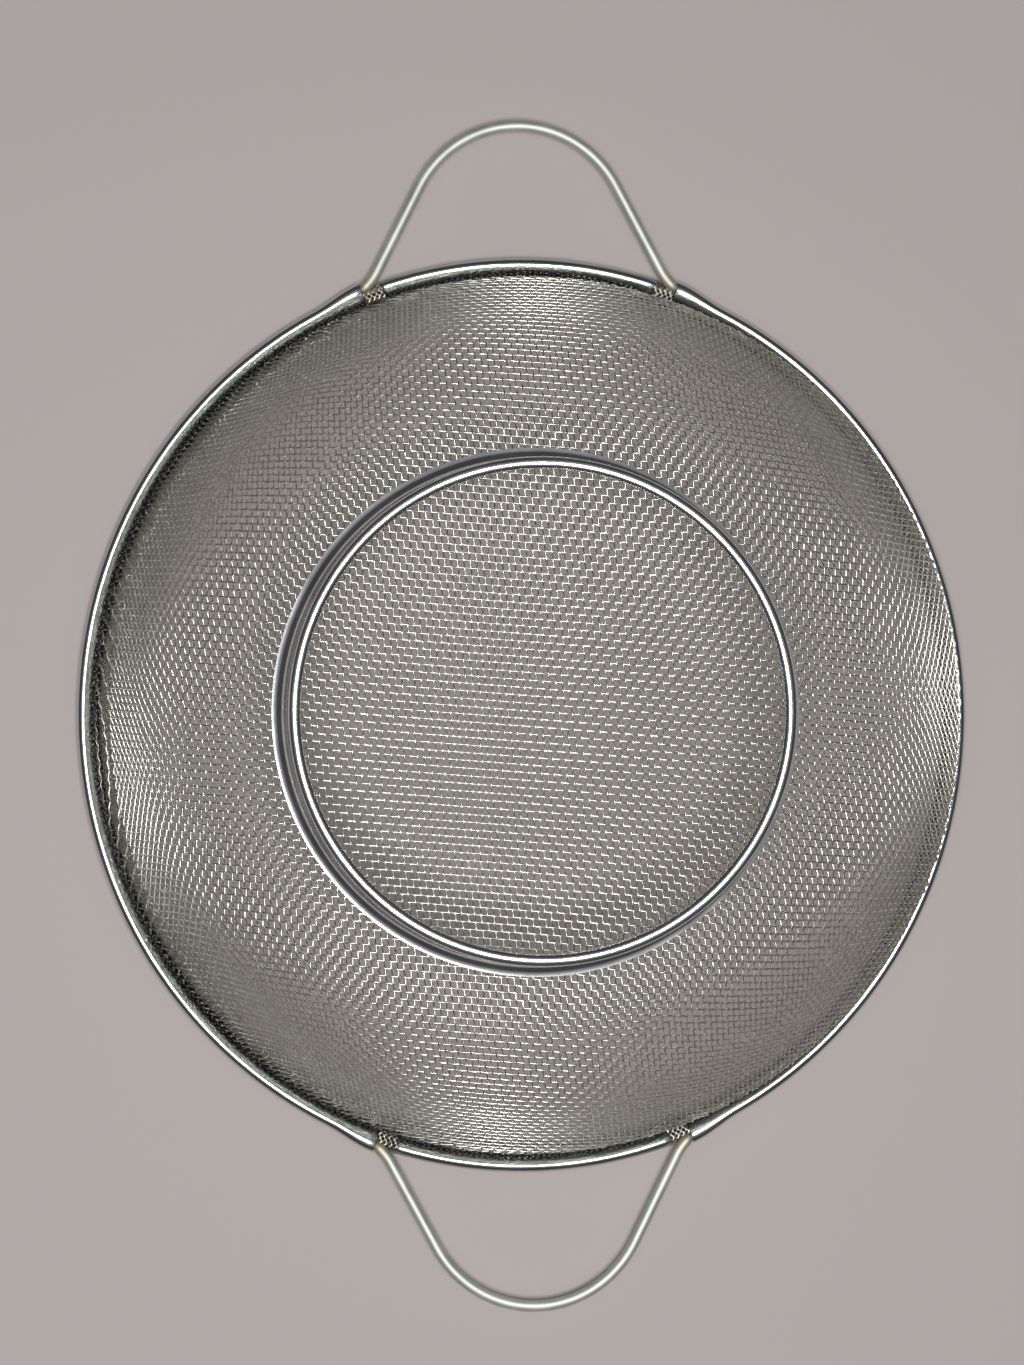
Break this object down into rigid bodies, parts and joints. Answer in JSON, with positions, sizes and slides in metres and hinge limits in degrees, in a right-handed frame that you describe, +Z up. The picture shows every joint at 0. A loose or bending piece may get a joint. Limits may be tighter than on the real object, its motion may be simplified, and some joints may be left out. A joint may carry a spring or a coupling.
{
  "type": "rice washing colander",
  "caption": "Round colander of woven steel wire with a rolled sheet rim, bent wire loop handles and a flared foot ring, for washing and draining rice; stands upside down on its rim.",
  "frame": {"origin": "on the bowl's axis at the table, under the rim the colander stands on upside down", "axes": "+Z up along the bowl's axis from the rim to the foot ring, +Y along the two handles, +X across them"},
  "size_m": [0.2368, 0.317, 0.0705],
  "materials": {
    "wire_cloth": "bright drawn stainless wire, plain weave",
    "satin_wire": "satin drawn stainless wire",
    "rim_sheet": "polished stainless sheet",
    "foot_sheet": "mirror polished stainless sheet"
  },
  "bodies": {
    "root": {"mesh_bowl": "wire_cloth", "rim_wire": "satin_wire", "rim_band_back": "rim_sheet", "rim_band_left": "rim_sheet", "rim_band_front": "rim_sheet", "rim_band_right": "rim_sheet", "handle_back": "satin_wire", "handle_front": "satin_wire", "foot_ring": "foot_sheet"}
  },
  "joints": []
}
